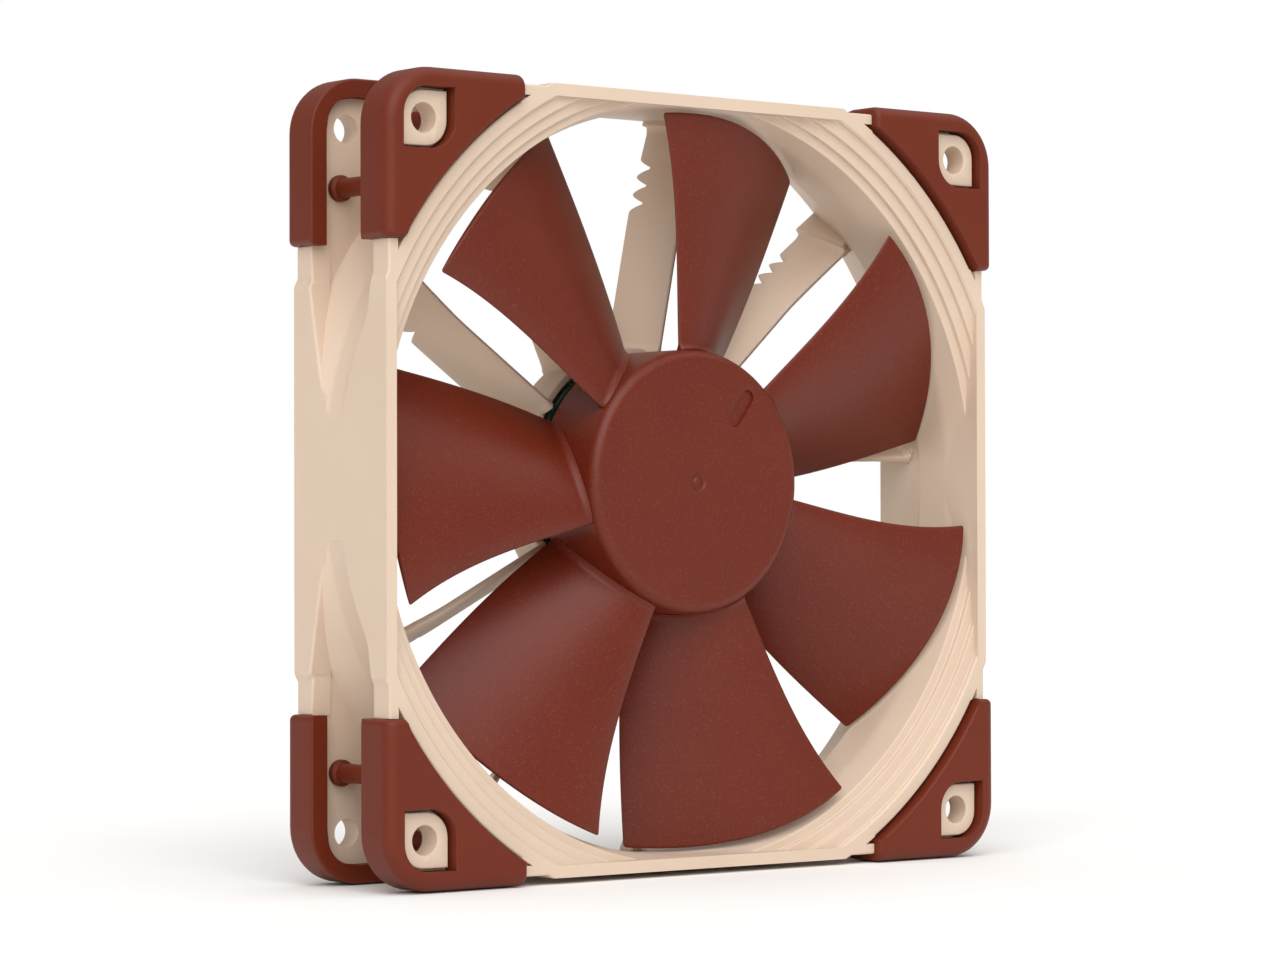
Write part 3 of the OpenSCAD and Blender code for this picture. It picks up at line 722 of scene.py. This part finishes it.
# Moulded glass-filled polymer: red-brown, with short fibres and fine erosion texture that show
# as a pale speckle of 0.3 to 0.5 mm, and a broad soft sheen.
impeller_plastic, tree, shader, place = begin("glass_filled_polymer_red_brown")
cloud = add(tree, "ShaderNodeTexNoise", {"Vector": place, "Scale": 70.0, "Detail": 4.0})
tone = add(tree, "ShaderNodeMix", {"Factor": cloud.outputs["Fac"]}, data_type="RGBA")
tone.inputs[6].default_value = linear("#5F1C0B")
tone.inputs[7].default_value = linear("#692410")
speck = add(tree, "ShaderNodeTexNoise", {"Vector": place, "Scale": 2600.0, "Detail": 3.0})
fleck = add(tree, "ShaderNodeMapRange", {"Value": speck.outputs["Fac"], "From Min": 0.55,
                                         "From Max": 0.8, "To Max": 0.35})
flecked = add(tree, "ShaderNodeMix", {"Factor": fleck.outputs["Result"]}, data_type="RGBA")
tree.links.new(tone.outputs[2], flecked.inputs[6])
flecked.inputs[7].default_value = linear("#8C4C3B")
tree.links.new(flecked.outputs[2], shader.inputs["Base Color"])
matt = add(tree, "ShaderNodeMapRange", {"Value": speck.outputs["Fac"], "To Min": 0.33,
                                        "To Max": 0.47})
tree.links.new(matt.outputs["Result"], shader.inputs["Roughness"])
dents = add(tree, "ShaderNodeBump", {"Height": speck.outputs["Fac"], "Strength": 0.18,
                                     "Distance": 0.0001})
tree.links.new(dents.outputs["Normal"], shader.inputs["Normal"])
shader.inputs["IOR"].default_value = 1.52
shader.inputs["Specular IOR Level"].default_value = 0.3

settle(impeller)
impeller.data.materials.clear()
impeller.data.materials.append(impeller_plastic)
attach(impeller, "rotor")
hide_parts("impeller")


# ---------- Motor and bearing ----------
# The brushless motor inside the hub keeps its exact CAD solids. Each gets the finish of the
# real part: pressed and plated steel, sintered magnets and bearing, enamelled copper, nylon
# insulators and a small green circuit board.
def wear(material, *nodes):
    """Puts a material on every slot of the CAD nodes."""
    for name in nodes:
        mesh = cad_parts[name].data
        mesh.materials.clear()
        mesh.materials.append(material)


def finish_of(name, dark, light, patch_mm, low, high, grain_mm, depth, metallic=0.0, ior=1.5):
    """A finish whose tone drifts over patch_mm and whose roughness and surface vary at grain_mm."""
    material, tree, shader, place = begin(name)
    cloud = add(tree, "ShaderNodeTexNoise", {"Vector": place, "Scale": 1000 / patch_mm,
                                             "Detail": 3.0})
    tone = add(tree, "ShaderNodeMix", {"Factor": cloud.outputs["Fac"]}, data_type="RGBA")
    tone.inputs[6].default_value = linear(dark)
    tone.inputs[7].default_value = linear(light)
    tree.links.new(tone.outputs[2], shader.inputs["Base Color"])
    grain = add(tree, "ShaderNodeTexNoise", {"Vector": place, "Scale": 1000 / grain_mm,
                                             "Detail": 2.0})
    matt = add(tree, "ShaderNodeMapRange", {"Value": grain.outputs["Fac"], "To Min": low,
                                            "To Max": high})
    tree.links.new(matt.outputs["Result"], shader.inputs["Roughness"])
    dents = add(tree, "ShaderNodeBump", {"Height": grain.outputs["Fac"], "Strength": depth,
                                         "Distance": 0.0001})
    tree.links.new(dents.outputs["Normal"], shader.inputs["Normal"])
    shader.inputs["Metallic"].default_value = metallic
    if not metallic:
        shader.inputs["IOR"].default_value = ior
    return material


# Brass: turned, warm yellow, with fine tool marks.
wear(finish_of("turned_brass", "#B08A3E", "#C9A552", 2, 0.22, 0.38, 0.15, 0.1, 1.0),
     "bearing_tube", "hub_bush")
# Sintered bronze: pressed powder, dull brown-gold and finely pitted, darkened by its oil.
wear(finish_of("sintered_bronze", "#7A5A30", "#9A7644", 1, 0.4, 0.6, 0.2, 0.3, 1.0),
     "bearing_sleeve")
# Nylon: natural off-white, slightly waxy.
wear(finish_of("natural_nylon", "#E4DFCF", "#F0ECDF", 3, 0.35, 0.5, 0.3, 0.06, ior=1.53),
     "thrust_pad", "oil_seal_ring")
# Ferrite: pressed ceramic magnet, charcoal grey and dry.
wear(finish_of("ferrite_magnet", "#2E2E31", "#414145", 1.5, 0.55, 0.75, 0.2, 0.2, ior=1.9),
     "stabiliser_magnet", "ring_magnet")
# Zinc-plated steel: deep-drawn cup, bluish silver with a soft cloudiness.
wear(finish_of("zinc_plated_steel", "#9C9EA0", "#BFC1C4", 5, 0.25, 0.42, 0.3, 0.08, 1.0),
     "rotor_cup")
# Ground steel: hard shaft and spring clip, bright with a fine grind.
wear(finish_of("ground_steel", "#C4C6C8", "#D8DADC", 3, 0.12, 0.24, 0.1, 0.05, 1.0),
     "shaft", "retaining_clip")
# Black nylon: moulded insulators, slightly glossy.
wear(finish_of("black_nylon", "#19191B", "#262628", 3, 0.35, 0.5, 0.3, 0.08, ior=1.53),
     "front_insulator", "rear_insulator")
# Tinned brass pins: dull silver dipped in solder.
wear(finish_of("solder_tinned_pins", "#A9A8A2", "#C6C5BF", 1, 0.3, 0.5, 0.1, 0.15, 1.0),
     "winding_pins")
# Black epoxy: moulded chip packages, matt with a faint grain.
wear(finish_of("black_epoxy", "#17171A", "#222226", 1, 0.5, 0.65, 0.1, 0.12, ior=1.55),
     "driver_chip", "hall_sensor")
# Ceramic chip parts: tan bodies with a dry surface.
wear(finish_of("chip_ceramic", "#7A5C40", "#A08468", 0.8, 0.4, 0.6, 0.1, 0.1, ior=1.6),
     "board_components")

# Electrical steel: the stator is a stack of 0.5 mm laminations, seen as fine level lines. They
# are drawn 1 mm apart, twice as coarse as they are, so that they show.
silicon_steel, tree, shader, place = begin("laminated_silicon_steel")
layers = add(tree, "ShaderNodeTexWave", {"Vector": place, "Scale": 314.0, "Distortion": 0.3,
                                         "Detail": 1.0}, bands_direction="Y")
tone = add(tree, "ShaderNodeMix", {"Factor": layers.outputs["Fac"]}, data_type="RGBA")
tone.inputs[6].default_value = linear("#5E6064")
tone.inputs[7].default_value = linear("#93969A")
tree.links.new(tone.outputs[2], shader.inputs["Base Color"])
shader.inputs["Metallic"].default_value = 1.0
matt = add(tree, "ShaderNodeMapRange", {"Value": layers.outputs["Fac"], "To Min": 0.35,
                                        "To Max": 0.55})
tree.links.new(matt.outputs["Result"], shader.inputs["Roughness"])
dents = add(tree, "ShaderNodeBump", {"Height": layers.outputs["Fac"], "Strength": 0.3,
                                     "Distance": 0.0001})
tree.links.new(dents.outputs["Normal"], shader.inputs["Normal"])
wear(silicon_steel, "stator_core")

# Enamelled copper wire of 0.2 mm: the turns are drawn as close parallel bands in the colour, dark
# brown as painted shade in the grooves between turns and bright orange as a painted sheen on the
# turns. They are drawn just under 0.5 mm apart, about twice as coarse as they are, so that they
# show.
copper, tree, shader, place = begin("enamelled_copper_wire")
turns = add(tree, "ShaderNodeTexWave", {"Vector": place, "Scale": 780.0, "Distortion": 0.6,
                                        "Detail": 1.0}, bands_direction="DIAGONAL")
# Painted shade and sheen: dark brown for the grooves between turns, bright orange for the lit
# turns.
tone = add(tree, "ShaderNodeMix", {"Factor": turns.outputs["Fac"]}, data_type="RGBA")
tone.inputs[6].default_value = linear("#7E3F1B")
tone.inputs[7].default_value = linear("#C4733A")
tree.links.new(tone.outputs[2], shader.inputs["Base Color"])
shader.inputs["Metallic"].default_value = 0.85
shader.inputs["Coat Weight"].default_value = 0.5
matt = add(tree, "ShaderNodeMapRange", {"Value": turns.outputs["Fac"], "To Min": 0.4,
                                        "To Max": 0.25})
tree.links.new(matt.outputs["Result"], shader.inputs["Roughness"])
dents = add(tree, "ShaderNodeBump", {"Height": turns.outputs["Fac"], "Strength": 0.5,
                                     "Distance": 0.0001})
tree.links.new(dents.outputs["Normal"], shader.inputs["Normal"])
wear(copper, "windings")

# Glass-epoxy board under green solder resist: the copper areas below show as lighter patches
# with sharp edges, about 1.5 mm wide.
board, tree, shader, place = begin("green_solder_resist_on_glass_epoxy")
tracks = add(tree, "ShaderNodeTexVoronoi", {"Vector": place, "Scale": 450.0},
             distance="MANHATTAN", feature="DISTANCE_TO_EDGE")
track = add(tree, "ShaderNodeMapRange", {"Value": tracks.outputs["Distance"], "From Min": 0.1,
                                         "From Max": 0.16})
tone = add(tree, "ShaderNodeMix", {"Factor": track.outputs["Result"]}, data_type="RGBA")
tone.inputs[6].default_value = linear("#143A28")
tone.inputs[7].default_value = linear("#1C5237")
tree.links.new(tone.outputs[2], shader.inputs["Base Color"])
matt = add(tree, "ShaderNodeMapRange", {"Value": track.outputs["Result"], "To Min": 0.3,
                                        "To Max": 0.22})
tree.links.new(matt.outputs["Result"], shader.inputs["Roughness"])
dents = add(tree, "ShaderNodeBump", {"Height": track.outputs["Result"], "Strength": 0.3,
                                     "Distance": 0.00005})
tree.links.new(dents.outputs["Normal"], shader.inputs["Normal"])
shader.inputs["IOR"].default_value = 1.55
wear(board, "circuit_board")

# Printed polyester film, dark brown with two plain beige rings; the print carries no words.
outer_ring, inner_ring = 0.0165, 0.0075         # radii of the rings, in metres
film, tree, shader, place = begin("printed_polyester_film")
split = add(tree, "ShaderNodeSeparateXYZ", {"Vector": place})
flat = add(tree, "ShaderNodeCombineXYZ", {"X": split.outputs["X"], "Y": split.outputs["Z"]})
length = add(tree, "ShaderNodeVectorMath", {0: flat.outputs["Vector"]}, operation="LENGTH")
band = add(tree, "ShaderNodeMath", {0: length.outputs["Value"], 1: outer_ring, 2: 0.0004},
           operation="COMPARE")
inner = add(tree, "ShaderNodeMath", {0: length.outputs["Value"], 1: inner_ring, 2: 0.0002},
            operation="COMPARE")
print_on = add(tree, "ShaderNodeMath", {0: band.outputs["Value"], 1: inner.outputs["Value"]},
               operation="MAXIMUM")
tone = add(tree, "ShaderNodeMix", {"Factor": print_on.outputs["Value"]}, data_type="RGBA")
tone.inputs[6].default_value = linear("#4A2A20")
tone.inputs[7].default_value = linear("#D8C3AC")
tree.links.new(tone.outputs[2], shader.inputs["Base Color"])
ripple = add(tree, "ShaderNodeTexNoise", {"Vector": place, "Scale": 180.0, "Detail": 2.0})
matt = add(tree, "ShaderNodeMapRange", {"Value": ripple.outputs["Fac"], "To Min": 0.22,
                                        "To Max": 0.34})
tree.links.new(matt.outputs["Result"], shader.inputs["Roughness"])
dents = add(tree, "ShaderNodeBump", {"Height": ripple.outputs["Fac"], "Strength": 0.05,
                                     "Distance": 0.0002})
tree.links.new(dents.outputs["Normal"], shader.inputs["Normal"])
shader.inputs["IOR"].default_value = 1.57
wear(film, "rear_label")


# ---------- Studio ----------
# A plain white table, an even white surround, and soft lights above: one large in front on
# the left, a weaker one on the right. The camera looks at the intake side from its left.
table_height = -0.0602      # just under the lower pads, in metres
bpy.ops.mesh.primitive_plane_add(size=6, location=(0, 0, table_height))
table = bpy.context.object
table.name = table.data.name = "table_top"
pale, tree, shader, place = begin("white_painted_board")
cloud = add(tree, "ShaderNodeTexNoise", {"Vector": place, "Scale": 8.0, "Detail": 2.0})
tone = add(tree, "ShaderNodeMix", {"Factor": cloud.outputs["Fac"]}, data_type="RGBA")
tone.inputs[6].default_value = linear("#F4F3F1")
tone.inputs[7].default_value = linear("#F9F8F6")
tree.links.new(tone.outputs[2], shader.inputs["Base Color"])
shader.inputs["Roughness"].default_value = 0.9
shader.inputs["Specular IOR Level"].default_value = 0.1
table.data.materials.append(pale)

surround = bpy.data.worlds.new("studio_surround")
surround.use_nodes = True
tree = surround.node_tree
tree.nodes["Background"].inputs["Color"].default_value = (1, 1, 1, 1)
tree.nodes["Background"].inputs["Strength"].default_value = 0.4
backdrop = add(tree, "ShaderNodeBackground", {"Color": (1, 1, 1, 1), "Strength": 1.0})
seen = tree.nodes.new("ShaderNodeLightPath").outputs["Is Camera Ray"]
mix = add(tree, "ShaderNodeMixShader", {"Fac": seen})
tree.links.new(tree.nodes["Background"].outputs[0], mix.inputs[1])
tree.links.new(backdrop.outputs[0], mix.inputs[2])
tree.links.new(mix.outputs[0], tree.nodes["World Output"].inputs["Surface"])
bpy.context.scene.world = surround
bpy.context.scene.view_settings.view_transform = "Standard"

for name, spot, spread, power in (("key_light", (-0.5, -0.65, 0.57), 60, 2.05),
                                  ("top_light", (0.1, -0.2, 1.0), 90, 1.3)):
    bpy.ops.object.light_add(type="SUN", location=spot)
    lamp = bpy.context.object
    lamp.name = lamp.data.name = name
    lamp.data.angle = math.radians(spread)
    lamp.data.energy = power
    lamp.rotation_euler = (-Vector(spot)).to_track_quat("-Z", "Y").to_euler()

bpy.ops.object.camera_add(location=(-0.38591, -0.48137, -0.01033))
camera = bpy.context.object
camera.data.sensor_width = 36
camera.data.lens = 111.4
sight = Vector((0.62240, 0.78249, 0.01744))
camera_roll = math.radians(-0.143)
camera.rotation_euler = (sight.to_track_quat("-Z", "Y").to_matrix().to_4x4()
                         @ Matrix.Rotation(camera_roll, 4, "Z")).to_euler()
bpy.context.scene.camera = camera
